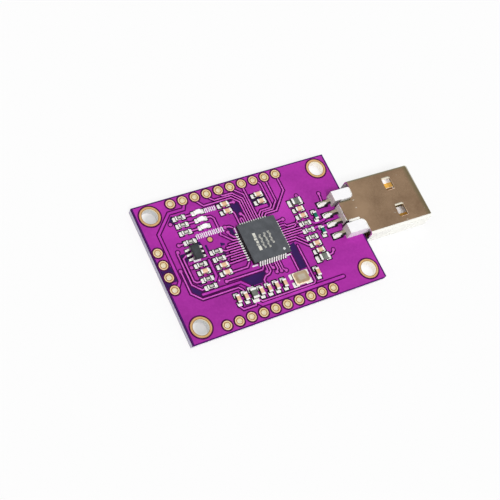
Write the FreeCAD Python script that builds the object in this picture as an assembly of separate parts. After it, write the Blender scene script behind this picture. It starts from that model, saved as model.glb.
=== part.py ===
import FreeCAD, Part
import math
import os

os.makedirs("parts", exist_ok=True)

V = FreeCAD.Vector

# Millimetres. The origin is the middle of the board's underside, +X points along
# the board towards the plug, +Y to the back row of header holes and +Z up.

# circuit board
board_length = 42.0
board_width = 28.0
board_thickness = 1.6
pad_height = 0.05
barrel_wall = 0.05

# mounting holes
mount_inset_x = 2.8
mount_inset_y = 2.57
mount_hole_diameter = 3.1
mount_ring_diameter = 4.05
mount_barrel_wall = 0.3

# rows of header holes
header_pitch = 2.54
header_hole_diameter = 1.0
header_ring_diameter = 1.9
row_count = 10
row_inset = 1.3
row_mount_gap = 2.8
row_gap_share = 0.2393
side_count = 4
side_inset = 1.2
side_middle_y = 0.38

# bare test pad
test_pad_place = (-0.22143 * board_length, 0.135 * board_width)
test_pad_diameter = 0.95

# main chip, a flat square package without leads, on a row of terminals along each side
chip_place = (0.42, 0.42)
chip_size = 8.0
chip_height = 0.8
terminal_pitch = 0.5
terminal_width = 0.23
terminal_length = 0.4
terminal_thickness = 0.05
terminals_a_side = 12
terminal_pad_reach = 0.6
terminal_pad_width = 0.28
terminal_solder_climb = 0.2
chip_dot_diameter = 0.55
chip_dot_depth = 0.04
chip_dot_inset = (1.1, 0.95)

# memory chip, a small package with leads on two sides
memory_place = (-0.3119 * board_length, 0.0732 * board_width)
memory_length = 2.9
memory_width = 1.6
memory_height = 1.05
memory_standoff = 0.1
memory_draft = 0.13
memory_band = 0.2
memory_lead_pitch = 0.95
memory_lead_width = 0.38
memory_lead_thickness = 0.15
memory_span = 2.8

# small two-ended parts: length, width, height, end cap
resistor_size = (1.6, 0.8, 0.45, 0.3)
capacitor_size = (1.6, 0.8, 0.8, 0.35)
bead_size = (2.0, 1.25, 0.9, 0.45)
arrester_size = (1.6, 0.8, 0.6, 0.35)
led_size = (1.6, 0.8, 0.3, 0.3)
led_lens_height = 0.45
small_pad_reach = 0.5
bead_pad_reach = 0.6
cap_proud = 0.03
ring_sides = 16
mount_ring_sides = 24
drill_sides = 8
mount_drill_sides = 16
dot_sides = 12

# crystal in a low metal-lidded case
crystal_place_x = 0.09524 * board_length
crystal_length = 3.2
crystal_width = 2.5
crystal_base_height = 0.45
crystal_lid_height = 0.3
crystal_lid_margin = 0.2
crystal_corner = 0.25

# plug
plug_turn = -1.1
plug_middle_y = 0.32
plug_feet_inset = 5.1
shell_width = 12.0
shell_height = 4.5
shell_length = 14.5
shell_sheet = 0.3
shell_corner = 0.6
shell_gap = 0.45
shell_above_board = 2.25
seam_width = 0.08
neck_width = 4.7
neck_length = 3.77
neck_root_radius = 1.0
neck_tab_length = 0.42
neck_tab_width = 3.9
neck_flange_depth = 1.9
window_length = 2.1
window_width = 2.8
window_spacing = 6.0
window_from_front = 5.88
window_corner = 0.35

# plug moulding
housing_width = 9.3
housing_length = 4.0
housing_height = 2.35
housing_overhang = 0.15
middle_setback = 0.5
middle_corner = 0.25
slot_inner = 1.95
slot_outer = 2.45
shoulder_corner = 0.9
block_setback = 2.0
block_length = 1.9
tongue_recess = 1.05
tongue_height = 1.95

# plug contacts
contact_offsets = (3.5, 1.0, -1.0, -3.5)
contact_width = 1.0
contact_thickness = 0.25
contact_proud = 0.08
contact_recess = 1.4
contact_exit_height = 0.3
contact_foot_length = 1.9
contact_reach = 2.55
contact_pad_width = 1.3

# middles of the small parts, which are spread over the board: their columns and rows
# are shares of its length and width, and those beside the plug are inset from its edge
left_column_x = -0.3131 * board_length
inner_left_column_x = -0.22024 * board_length
chip_left_x = -0.0905 * board_length
chip_right_x = 0.0857 * board_length
right_column_inset = 10.7
bead_column_inset = 10.6
arrester_column_inset = 8.05
right_column_x = board_length / 2 - right_column_inset
bead_column_x = board_length / 2 - bead_column_inset
arrester_column_x = board_length / 2 - arrester_column_inset
bottom_row_y = -0.3179 * board_width
led_rows = (0.3411, 0.2857, 0.2304)
led_resistor_rows = (0.3393, 0.2839, 0.2286)
back_pair_rows = (0.3393, 0.2857)
bottom_columns = (-0.2262, -0.1881, -0.1095, -0.0702, -0.031, 0.0095, 0.1833)
bottom_bead_column = -0.1476


def column(x, rows):
    """One place a row, with each row given as a share of the board's width."""
    return [(x, share * board_width) for share in rows]


resistor_places = column(left_column_x, led_resistor_rows)
resistor_places += column(left_column_x, (0.1571, -0.0143, -0.1214, -0.1768))
resistor_places += column(inner_left_column_x, (0.0393, -0.0143))
resistor_places += column(right_column_x, (0.0411, -0.0143, -0.0696))

capacitor_places = column(left_column_x, (-0.0679,))
capacitor_places += column(inner_left_column_x, (-0.0679, -0.1214))
capacitor_places += column(chip_left_x, back_pair_rows)
capacitor_places += column(chip_right_x, back_pair_rows)
capacitor_places += column(right_column_x, (0.15, 0.0964, -0.1232, -0.1768))

row_capacitor_places = [(share * board_length, bottom_row_y) for share in bottom_columns]

led_places = column(inner_left_column_x, led_rows)
bead_places = column(bead_column_x, (0.2089, -0.2321))
row_bead_places = [(bottom_bead_column * board_length, bottom_row_y)]
arrester_places = column(arrester_column_x, (0.0696, -0.05))
crystal_place = (crystal_place_x, bottom_row_y)

top = board_thickness
seat = top + pad_height
right_edge = board_length / 2
nodes = {}
solder = []


def box(x0, x1, y0, y1, z0, z1):
    return Part.makeBox(x1 - x0, y1 - y0, z1 - z0, V(x0, y0, z0))


def disc(x, y, diameter, z0, z1):
    return Part.makeCylinder(diameter / 2, z1 - z0, V(x, y, z0))


def many_sided(x, y, diameter, sides, z0, z1):
    """A thin disc or a drilled wall with flat sides, of the same area as the round one."""
    turn = 2 * math.pi / sides
    radius = diameter / 2 * math.sqrt(turn / math.sin(turn))
    angles = [turn * i for i in range(sides + 1)]
    corners = [V(x + radius * math.cos(a), y + radius * math.sin(a), z0) for a in angles]
    return Part.Face(Part.makePolygon(corners)).extrude(V(0, 0, z1 - z0))


def join(shapes):
    whole = shapes[0].fuse(shapes[1:])
    return whole.removeSplitter()


def turned(shape, angle):
    copy = shape.copy()
    copy.rotate(V(0, 0, 0), V(0, 0, 1), angle)
    return copy


def placed(shape, x, y, z=0.0):
    copy = shape.copy()
    copy.translate(V(x, y, z))
    return copy


def side_profile(points, width):
    """A solid with this outline in the XZ plane, as wide as given along Y."""
    corners = [V(x, -width / 2, z) for x, z in points]
    face = Part.Face(Part.makePolygon(corners + corners[:1]))
    return face.extrude(V(0, width, 0))


def rounded_bar(x0, x1, width, height, radius, z_middle):
    """A bar along X whose four long edges are round."""
    bar = Part.makeBox(x1 - x0, width, height, V(x0, -width / 2, z_middle - height / 2))
    long_edges = [e for e in bar.Edges if abs(e.Vertexes[0].X - e.Vertexes[1].X) > 0.1]
    return bar.makeFillet(radius, long_edges)


def upright_slab(x0, x1, y0, y1, z0, z1, radius):
    """A block whose four upright edges are round."""
    slab = box(x0, x1, y0, y1, z0, z1)
    upright = [e for e in slab.Edges if abs(e.Vertexes[0].Z - e.Vertexes[1].Z) > 1e-6]
    return slab.makeFillet(radius, upright)


# header, mounting and test pads

mount_x = board_length / 2 - mount_inset_x
mount_y = board_width / 2 - mount_inset_y
mount_holes = [(sx * mount_x, sy * mount_y) for sx in (-1, 1) for sy in (-1, 1)]

row_y = board_width / 2 - row_inset
row_length = header_pitch * (row_count - 1)
row_slack = 2 * (mount_x - row_mount_gap) - row_length
row_start = row_mount_gap + row_gap_share * row_slack - mount_x
side_x = side_inset - board_length / 2
side_start = side_middle_y - header_pitch * (side_count - 1) / 2

back_holes = [(row_start + header_pitch * i, row_y) for i in range(row_count)]
front_holes = [(row_start + header_pitch * i, -row_y) for i in range(row_count)]
side_holes = [(side_x, side_start + header_pitch * i) for i in range(side_count)]


header_drill = header_hole_diameter + 2 * barrel_wall
mount_drill = mount_hole_diameter + 2 * mount_barrel_wall


def plated_hole(x, y, bore, drilled, drilled_sides, ring, sides):
    """A plated barrel with a flat ring on each face of the board."""
    barrel = many_sided(x, y, drilled, drilled_sides, 0, top)
    upper = many_sided(x, y, ring, sides, top, seat)
    lower = many_sided(x, y, ring, sides, -pad_height, 0)
    return join([barrel, upper, lower]).cut(bore)


def header_plating(holes):
    made = []
    for x, y in holes:
        bore = many_sided(x, y, header_hole_diameter, ring_sides, -1, top + 1)
        made.append(plated_hole(x, y, bore, header_drill, drill_sides, header_ring_diameter, ring_sides))
    return Part.makeCompound(made)


def mounting_plating(holes):
    made = []
    for x, y in holes:
        bore = disc(x, y, mount_hole_diameter, -1, top + 1)
        made.append(plated_hole(x, y, bore, mount_drill, mount_drill_sides, mount_ring_diameter, mount_ring_sides))
    return Part.makeCompound(made)


board = box(-board_length / 2, right_edge, -board_width / 2, board_width / 2, 0, top)
header_holes = back_holes + front_holes + side_holes
drills = [many_sided(x, y, header_drill, drill_sides, -1, top + 1) for x, y in header_holes]
drills += [many_sided(x, y, mount_drill, mount_drill_sides, -1, top + 1) for x, y in mount_holes]
nodes["pcb"] = board.cut(drills)

nodes["mounting_hole_plating"] = mounting_plating(mount_holes)
nodes["header_plating_back"] = header_plating(back_holes)
nodes["header_plating_front"] = header_plating(front_holes)
nodes["header_plating_side"] = header_plating(side_holes)
nodes["test_pad"] = many_sided(*test_pad_place, test_pad_diameter, ring_sides, top, seat)

# small two-ended parts


def end_joint(length, width, cap, climb, reach):
    """Pad and solder at the +X end of a part that stands with its middle at zero."""
    end = length / 2
    outline = [
        (end - cap, top),
        (end + reach, top),
        (end, seat + climb),
        (end, seat),
        (end - cap, seat),
    ]
    return side_profile(outline, width + 0.12)


def solder_part(x, y, angle, size, reach):
    length, width, height, cap = size
    joint = end_joint(length, width, cap, 0.45 * height, reach)
    for extra in (0, 180):
        solder.append(placed(turned(joint, angle + extra), x, y))


def two_ended(x, y, angle, size):
    """A ceramic body between two metal caps that stand a little proud of it."""
    length, width, height, cap = size
    end = length / 2
    high = seat + height
    core = high - cap_proud
    outline = [
        (-end, seat),
        (end, seat),
        (end, high),
        (end - cap, high),
        (end - cap, core),
        (cap - end, core),
        (cap - end, high),
        (-end, high),
    ]
    return placed(turned(side_profile(outline, width), angle), x, y)


def led(x, y, angle):
    """A small base with a clear block cast on it that narrows upwards."""
    length, width, height, cap = led_size
    base = box(-length / 2, length / 2, -width / 2, width / 2, seat, seat + height)
    half = length / 2 - cap
    lens = side_profile(
        [
            (-half, seat + height),
            (half, seat + height),
            (half - 0.08, seat + height + led_lens_height),
            (0.08 - half, seat + height + led_lens_height),
        ],
        width,
    )
    return placed(turned(join([base, lens]), angle), x, y)


def add_parts(name, start, places, angle, size, reach):
    for number, (x, y) in enumerate(places, start):
        nodes["%s_%d" % (name, number)] = two_ended(x, y, angle, size)
        solder_part(x, y, angle, size, reach)


add_parts("resistor", 1, resistor_places, 0, resistor_size, small_pad_reach)
add_parts("capacitor", 1, capacitor_places, 0, capacitor_size, small_pad_reach)
add_parts("capacitor", 1 + len(capacitor_places), row_capacitor_places, 90, capacitor_size, small_pad_reach)
add_parts("bead", 1, bead_places, 0, bead_size, bead_pad_reach)
add_parts("bead", 1 + len(bead_places), row_bead_places, 90, bead_size, bead_pad_reach)
add_parts("arrester", 1, arrester_places, 90, arrester_size, small_pad_reach)

for number, (x, y) in enumerate(led_places, 1):
    nodes["led_%d" % number] = led(x, y, 0)
    solder_part(x, y, 0, led_size, small_pad_reach)

# memory chip with formed leads, and the main chip


def moulded_body(length, width, height, draft, band):
    """A moulded block that is widest in a band at mid height, where its leads leave."""
    low = seat + memory_standoff
    middle = low + height / 2
    levels = [(low, draft), (middle - band / 2, 0), (middle + band / 2, 0), (low + height, draft)]
    layers = []
    for (z0, in0), (z1, in1) in zip(levels, levels[1:]):
        rings = []
        for z, inset in ((z0, in0), (z1, in1)):
            x = length / 2 - inset
            y = width / 2 - inset
            corners = [V(-x, -y, z), V(x, -y, z), V(x, y, z), V(-x, y, z), V(-x, -y, z)]
            rings.append(Part.makePolygon(corners))
        layers.append(Part.makeLoft(rings, True, True))
    return join(layers)


def formed_lead(body_half, span, height, width, thickness):
    """One lead bent out, down and out again, on the +X side of its package."""
    middle = seat + memory_standoff + height / 2
    high = middle + thickness / 2
    tip = span / 2 - body_half
    outline = [
        (0, high),
        (0.3 * tip, high),
        (0.52 * tip, seat + thickness),
        (tip, seat + thickness),
        (tip, seat),
        (0.42 * tip, seat),
        (0.2 * tip, high - thickness),
        (0, high - thickness),
    ]
    shifted = [(x + body_half, z) for x, z in outline]
    return side_profile(shifted, width)


def lead_joint(span, length, width, thickness):
    """Pad and solder in front of and under one foot, on the +X side."""
    tip = span / 2
    outline = [
        (tip - length, top),
        (tip + 0.35, top),
        (tip, seat + 0.7 * thickness),
        (tip, seat),
        (tip - length, seat),
    ]
    return side_profile(outline, width + 0.06)


def lead_row(lead, pitch, count, angle, place):
    leads = []
    for i in range(count):
        offset = pitch * (i - (count - 1) / 2)
        leads.append(placed(turned(placed(lead, 0, offset), angle), *place))
    return leads


def terminal_joint(edge):
    """Land and solder under and in front of one terminal, on the +X side."""
    outline = [
        (edge - terminal_length, top),
        (edge + terminal_pad_reach, top),
        (edge + 0.5 * terminal_pad_reach, seat),
        (edge, seat + terminal_solder_climb),
        (edge, seat),
        (edge - terminal_length, seat),
    ]
    return side_profile(outline, terminal_pad_width)


chip_half = chip_size / 2
chip_base = seat + terminal_thickness
chip_top = chip_base + chip_height
chip = box(-chip_half, chip_half, -chip_half, chip_half, chip_base, chip_top)
dot_x = chip_half - chip_dot_inset[0]
dot_y = chip_dot_inset[1] - chip_half
dot = many_sided(dot_x, dot_y, chip_dot_diameter, dot_sides, chip_top - chip_dot_depth, chip_top + 1)
nodes["chip_body"] = placed(chip.cut(dot), *chip_place)

half_width = terminal_width / 2
terminal = box(chip_half - terminal_length, chip_half, -half_width, half_width, seat, chip_base)
joint = terminal_joint(chip_half)
chip_terminals = []
for angle in (0, 90, 180, 270):
    chip_terminals += lead_row(terminal, terminal_pitch, terminals_a_side, angle, chip_place)
    solder += lead_row(joint, terminal_pitch, terminals_a_side, angle, chip_place)
nodes["chip_terminals"] = Part.makeCompound(chip_terminals)

memory = moulded_body(memory_width, memory_length, memory_height, memory_draft, memory_band)
nodes["memory_body"] = placed(memory, *memory_place)

lead = formed_lead(memory_width / 2, memory_span, memory_height, memory_lead_width, memory_lead_thickness)
joint = lead_joint(memory_span, 0.35, memory_lead_width, memory_lead_thickness)
memory_leads = []
for angle in (0, 180):
    memory_leads += lead_row(lead, memory_lead_pitch, 3, angle, memory_place)
    solder += lead_row(joint, memory_lead_pitch, 3, angle, memory_place)
nodes["memory_leads"] = Part.makeCompound(memory_leads)

# crystal

base_top = seat + crystal_base_height
half_x = crystal_length / 2
half_y = crystal_width / 2
base = box(-half_x, half_x, -half_y, half_y, seat, base_top)
lid_x = half_x - crystal_lid_margin
lid_y = half_y - crystal_lid_margin
lid = box(-lid_x, lid_x, -lid_y, lid_y, base_top, base_top + crystal_lid_height)
lid = lid.makeChamfer(crystal_corner, [e for e in lid.Edges if abs(e.Vertexes[0].Z - e.Vertexes[1].Z) > 1e-6])
nodes["crystal_base"] = placed(base, *crystal_place)
nodes["crystal_lid"] = placed(lid, *crystal_place)

for sx in (-1, 1):
    for sy in (-1, 1):
        pad_x = sorted((sx * 0.7, sx * (half_x + small_pad_reach)))
        pad_y = sorted((sy * 0.3, sy * (half_y + 0.15)))
        solder.append(placed(box(*pad_x, *pad_y, top, seat), *crystal_place))

# plug shell, folded from one sheet

shell_rear = right_edge + shell_gap
shell_front = shell_rear + shell_length
shell_top = top + shell_above_board
shell_bottom = shell_top - shell_height
shell_middle = shell_top - shell_height / 2
inner_width = shell_width - 2 * shell_sheet
inner_height = shell_height - 2 * shell_sheet
inner_corner = shell_corner - shell_sheet
neck_rear = shell_rear - neck_length
root_x = shell_rear - neck_root_radius


def shell_tube():
    outside = rounded_bar(shell_rear, shell_front, shell_width, shell_height, shell_corner, shell_middle)
    inside = rounded_bar(shell_rear - 1, shell_front + 1, inner_width, inner_height, inner_corner, shell_middle)
    return outside.cut(inside)


def neck_channel():
    """The strip behind the shell's roof, with its two long edges folded down."""
    start = neck_rear + neck_tab_length
    depth = neck_flange_depth + shell_sheet
    outside = rounded_bar(start, root_x, neck_width, 2 * depth, shell_corner, shell_top - depth)
    inside = rounded_bar(
        start - 1, root_x + 1,
        neck_width - 2 * shell_sheet, 2 * depth,
        inner_corner, shell_top - depth - shell_sheet,
    )
    channel = outside.cut(inside)
    lower_half = box(start - 1, root_x + 1, -neck_width, neck_width, shell_top - 3 * depth, shell_top - depth)
    return channel.cut(lower_half)


def neck_root():
    """The flat web where the neck widens into the roof with a round on each side."""
    half = neck_width / 2
    wide = half + neck_root_radius
    inward = neck_root_radius * math.sqrt(0.5)
    overlap = shell_rear + shell_gap
    edges = []
    for side in (-1, 1):
        start = V(root_x, side * half, shell_top)
        end = V(shell_rear, side * wide, shell_top)
        middle = V(root_x + inward, side * (wide - inward), shell_top)
        edges.append(Part.Arc(start, middle, end).toShape())
        edges.append(Part.makeLine(end, V(overlap, side * wide, shell_top)))
    edges.append(Part.makeLine(V(root_x, -half, shell_top), V(root_x, half, shell_top)))
    edges.append(Part.makeLine(V(overlap, -wide, shell_top), V(overlap, wide, shell_top)))
    outline = Part.Wire(Part.__sortEdges__(edges))
    return Part.Face(outline).extrude(V(0, 0, -shell_sheet))


tab = box(
    neck_rear, neck_rear + neck_tab_length,
    -neck_tab_width / 2, neck_tab_width / 2,
    shell_top - shell_sheet, shell_top,
)
shell = join([shell_tube(), neck_channel(), neck_root(), tab])

window_x = shell_front - window_from_front
for side in (-1, 1):
    y = side * window_spacing / 2
    window = upright_slab(
        window_x - window_length / 2, window_x + window_length / 2,
        y - window_width / 2, y + window_width / 2,
        shell_middle, shell_top + 1, window_corner,
    )
    shell = shell.cut(window)
seam = box(shell_rear - 1, shell_front + 1, -seam_width / 2, seam_width / 2, shell_bottom - 1, shell_bottom + 1)
shell = shell.cut(seam)

# plug moulding

housing_rear = right_edge + housing_overhang - housing_length
shoulder_front = housing_rear + housing_length
block_rear = shell_rear + block_setback
block_front = block_rear + block_length
tongue_front = shell_front - tongue_recess
tongue_bottom = shell_bottom + shell_sheet
tongue_top = tongue_bottom + tongue_height
roof_under = shell_top - shell_sheet


def shoulder(side):
    """One raised block beside the neck, round where it faces the neck's root."""
    inner = side * slot_outer
    outer = side * housing_width / 2
    y0, y1 = sorted((inner, outer))
    block = box(housing_rear, shoulder_front, y0, y1, top, top + housing_height)
    corner = [
        e for e in block.Edges
        if abs(e.Vertexes[0].Z - e.Vertexes[1].Z) > 0.5
        and abs(e.Vertexes[0].X - shoulder_front) < 1e-6
        and abs(e.Vertexes[0].Y - inner) < 1e-6
    ]
    return block.makeFillet(shoulder_corner, corner)


def moulding():
    middle = rounded_bar(
        housing_rear + middle_setback, shoulder_front,
        2 * slot_inner, 2 * (roof_under - top), middle_corner, top,
    )
    middle = middle.common(box(housing_rear, shoulder_front, -slot_outer, slot_outer, top, roof_under))
    bridge_rear = root_x + 0.05
    bridge = box(bridge_rear, block_rear, -housing_width / 2, housing_width / 2, top, roof_under)
    block = rounded_bar(block_rear, block_front, inner_width, inner_height, inner_corner, shell_middle)
    tongue = rounded_bar(block_rear, tongue_front, inner_width, inner_height, inner_corner, shell_middle)
    upper = box(block_front, tongue_front + 1, -shell_width, shell_width, tongue_top, shell_top)
    return join([shoulder(-1), shoulder(1), middle, bridge, block, tongue.cut(upper)])


# plug contacts


def contact(offset):
    """A flat strip on the tongue that steps up over the board and ends in a foot."""
    rear = right_edge + housing_overhang - housing_length
    tip = rear - contact_reach
    foot_end = tip + contact_foot_length
    low = tongue_top + contact_proud - contact_thickness
    high = seat + contact_exit_height
    upper = [
        (tip, seat),
        (foot_end - 0.15, seat),
        (foot_end + 0.25, high),
        (block_rear + 0.1, high),
        (block_rear + 0.6, low),
        (shell_front - contact_recess, low),
    ]
    lower = [(x, z + contact_thickness) for x, z in reversed(upper)]
    strip = side_profile(upper + lower, contact_width)
    foot = box(tip, foot_end, -contact_width, contact_width, top, seat + 1)
    round_tip = join([
        disc(tip + contact_width / 2, 0, contact_width, top, seat + 1),
        box(tip + contact_width / 2, foot_end, -contact_width / 2, contact_width / 2, top, seat + 1),
    ])
    return placed(strip.cut(foot.cut(round_tip)), 0, offset)


def contact_pad(offset):
    tip = right_edge + housing_overhang - housing_length - contact_reach
    half = contact_pad_width / 2
    return box(tip - 0.35, tip + contact_foot_length, offset - half, offset + half, top, seat)


def on_board(shape):
    """Set a plug piece at its place, with the small turn that the plug has."""
    set_down = placed(shape, 0, plug_middle_y)
    set_down.rotate(V(right_edge - plug_feet_inset, plug_middle_y, 0), V(0, 0, 1), plug_turn)
    return set_down


contacts = [contact(offset) for offset in contact_offsets]
housing = moulding().cut(contacts)

nodes["usb_shell"] = on_board(shell)
nodes["usb_housing"] = on_board(housing)
for number, strip in enumerate(contacts, 1):
    nodes["usb_contact_%d" % number] = on_board(strip)
solder += [on_board(contact_pad(offset)) for offset in contact_offsets]

nodes["solder_joints"] = Part.makeCompound(solder)

for name, shape in nodes.items():
    shape.exportStep("parts/%s.step" % name)
    print("%-24s solids %3d  valid %s  volume %.3f" % (name, len(shape.Solids), shape.isValid(), shape.Volume))
print("nodes", len(nodes))
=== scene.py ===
import bpy
import bmesh
import math
from mathutils import Matrix, Vector


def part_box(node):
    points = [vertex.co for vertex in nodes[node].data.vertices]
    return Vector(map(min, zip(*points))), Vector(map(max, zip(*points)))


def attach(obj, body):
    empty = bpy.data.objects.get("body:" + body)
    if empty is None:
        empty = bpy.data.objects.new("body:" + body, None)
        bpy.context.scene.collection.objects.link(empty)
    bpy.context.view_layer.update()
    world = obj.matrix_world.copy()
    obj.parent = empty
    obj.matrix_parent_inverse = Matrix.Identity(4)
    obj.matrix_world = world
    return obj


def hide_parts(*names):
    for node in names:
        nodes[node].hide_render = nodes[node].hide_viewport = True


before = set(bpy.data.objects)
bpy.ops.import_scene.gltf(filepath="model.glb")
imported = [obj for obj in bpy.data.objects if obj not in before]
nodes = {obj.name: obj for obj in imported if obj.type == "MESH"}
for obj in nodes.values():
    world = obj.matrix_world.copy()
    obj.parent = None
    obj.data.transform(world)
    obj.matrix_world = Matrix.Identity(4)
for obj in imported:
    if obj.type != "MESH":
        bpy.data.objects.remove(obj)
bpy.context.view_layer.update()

# places and sizes are in millimetres of the board's frame, and MM turns them into metres

MM = 0.001
X, Y, Z = 0, 1, 2
BOARD_TOP = 1.6
SEAT = 1.65
middle = {name: [v / MM for v in (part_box(name)[0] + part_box(name)[1]) / 2] for name in nodes}
size = {name: [v / MM for v in (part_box(name)[1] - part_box(name)[0])] for name in nodes}
CHIP_X, CHIP_Y = middle["chip_body"][:2]
CHIP_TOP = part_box("chip_body")[1].z / MM
SHELL_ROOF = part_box("usb_shell")[1].z / MM


# camera

def place_camera():
    """A camera with the photograph's place, direction and lens."""
    camera = bpy.data.cameras.new("camera")
    camera.lens = 73.67
    camera.sensor_width = 36.0
    camera.clip_start = 0.01
    camera.clip_end = 10.0
    holder = bpy.data.objects.new("camera", camera)
    place = (-0.084971, -0.055243, 0.163483)
    right = Vector((0.85792724, -0.42230484, 0.29260806))
    up = Vector((0.27619429, 0.85933221, 0.43042405))
    back = Vector((-0.43321769, -0.28845584, 0.8538827))
    turn = Matrix((right, up, back)).transposed().to_4x4()
    holder.matrix_world = Matrix.Translation(place) @ turn
    bpy.context.scene.collection.objects.link(holder)
    bpy.context.scene.camera = holder


place_camera()


# node trees and materials

def linear(red, green, blue):
    """Colour as written in 0 to 255 screen values, for a shader socket."""
    out = []
    for value in (red, green, blue):
        c = value / 255.0
        out.append(c / 12.92 if c <= 0.04045 else ((c + 0.055) / 1.055) ** 2.4)
    return (*out, 1.0)


class Tree:
    """Adds nodes to one node tree. Numbers and tuples are set on a socket, and sockets are linked."""

    def __init__(self, tree):
        self.tree = tree
        self.coordinates = self.node("TexCoord").outputs
        self.place = self.coordinates["Object"]

    def feed(self, socket, value):
        if isinstance(value, (int, float, tuple)):
            socket.default_value = value
        else:
            self.tree.links.new(value, socket)

    def node(self, kind, **settings):
        made = self.tree.nodes.new("ShaderNode" + kind)
        for key, value in settings.items():
            socket = made.inputs.get(key.replace("_", " "))
            if socket is None:
                setattr(made, key, value)
            else:
                self.feed(socket, value)
        return made

    def calculate(self, operation, first, second=0.0):
        made = self.node("Math", operation=operation)
        self.feed(made.inputs[0], first)
        self.feed(made.inputs[1], second)
        return made.outputs[0]

    def times(self, product, *factors):
        for factor in factors:
            product = self.calculate("MULTIPLY", product, factor)
        return product

    def levels(self, source, low, high, to_low=0.0, to_high=1.0):
        """The source's stretch from low to high, drawn out to another stretch and held at its ends."""
        made = self.node("MapRange", From_Min=low, From_Max=high, To_Min=to_low, To_Max=to_high)
        self.feed(made.inputs["Value"], source)
        return made.outputs["Result"]

    def split(self, source, axis):
        return self.node("SeparateXYZ", Vector=source).outputs[axis]

    def position(self, axis):
        return self.split(self.place, axis)

    def along(self, axis, start, end, to_low=0.0, to_high=1.0):
        """A fade between two places on an axis."""
        return self.levels(self.position(axis), start * MM, end * MM, to_low, to_high)

    def beside(self, axis, plane, start, end):
        """A fade between two distances on each side of a plane square to an axis."""
        gap = self.calculate("SUBTRACT", self.position(axis), plane * MM)
        return self.levels(self.calculate("ABSOLUTE", gap), start * MM, end * MM)

    def around(self, point, start, end, to_low, to_high):
        """A fade between two distances from a point."""
        made = self.node("VectorMath", operation="DISTANCE")
        self.feed(made.inputs[0], self.place)
        self.feed(made.inputs[1], tuple(v * MM for v in point))
        return self.levels(made.outputs["Value"], start * MM, end * MM, to_low, to_high)


class Finish(Tree):
    """A node material with mottled colour, fine bump and uneven roughness."""

    def __init__(self, name, metallic=0.0, **inputs):
        self.material = bpy.data.materials.new(name + "_finish")
        self.material.use_nodes = True
        super().__init__(self.material.node_tree)
        self.shader = self.tree.nodes["Principled BSDF"]
        if not metallic:
            self.shade(Specular_IOR_Level=0.3)
        self.shade(Metallic=metallic, **inputs)

    def shade(self, **inputs):
        for key, value in inputs.items():
            self.feed(self.shader.inputs[key.replace("_", " ")], value)

    def stretched(self, scale):
        return self.node("Mapping", Scale=scale, Vector=self.place).outputs["Vector"]

    def noise(self, scale, detail=3.0, stretch=None):
        source = self.stretched(stretch) if stretch else self.place
        return self.node("TexNoise", Scale=scale, Detail=detail, Roughness=0.55, Vector=source).outputs["Fac"]

    def tones(self, source, dark, light, low=0.3, high=0.7):
        """Two colours, with a fade between two levels of the source."""
        made = self.node("ValToRGB", Fac=source)
        for element, at, colour in zip(made.color_ramp.elements, (low, high), (dark, light)):
            element.position = at
            element.color = linear(*colour)
        return made.outputs["Color"]

    def mix(self, factor, first, second):
        """The first colour, turned into the second as far as the factor says."""
        made = self.node("Mix", data_type="RGBA")
        self.feed(made.inputs[0], factor)
        self.feed(made.inputs[6], first)
        self.feed(made.inputs[7], linear(*second) if isinstance(second, tuple) else second)
        return made.outputs[2]

    def facing(self, axis):
        return self.split(self.node("NewGeometry").outputs["Normal"], axis)

    def square_to(self, axis):
        return self.calculate("ABSOLUTE", self.facing(axis))

    def inner_glow(self, tone):
        """A painted glow inside the plug that stands in for scattered light, stronger below the far window.
        """
        inside = self.along(X, 24.0, 26.0)
        strength = self.times(inside, self.along(Y, -1.0, 1.5, 0.06, 0.3))
        self.shade(Emission_Color=tone, Emission_Strength=strength)

    def roughness(self, source, low, high):
        self.shade(Roughness=self.levels(source, 0.3, 0.7, low, high))

    def bump(self, source, strength, depth):
        made = self.node("Bump", Strength=strength, Distance=depth * MM, Height=source)
        self.shade(Normal=made.outputs["Normal"])

    def surface(self, patches, low, high, grain, strength, depth):
        """Sets uneven roughness and a fine grain, and gives the finished material."""
        self.roughness(self.noise(patches), low, high)
        self.bump(self.noise(grain, 2.0), strength, depth)
        return self.material


# finishes with hardly any shine
DULL = ("mask_edge", "pad_opening", "ring_moat", "rim_mask", "bare_mask")


def mottled(name, dark, light, scale, low, high, grain, depth, metallic):
    """Two near colours in a soft mottle. A ceramic part has painted shade on its end away from the plug."""
    made = Finish(name, metallic)
    if name in DULL:
        made.shade(Specular_IOR_Level=0.12)
    tone = made.tones(made.noise(scale), dark, light)
    if name.endswith("ceramic"):
        # painted shade on the end of a ceramic part that faces away from the plug
        tone = made.mix(made.levels(made.facing(X), -0.5, -0.8), tone, (34, 24, 18))
    made.shade(Base_Color=tone)
    return made.surface(scale * 2.3, low, high, grain, 0.35, depth)


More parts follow.
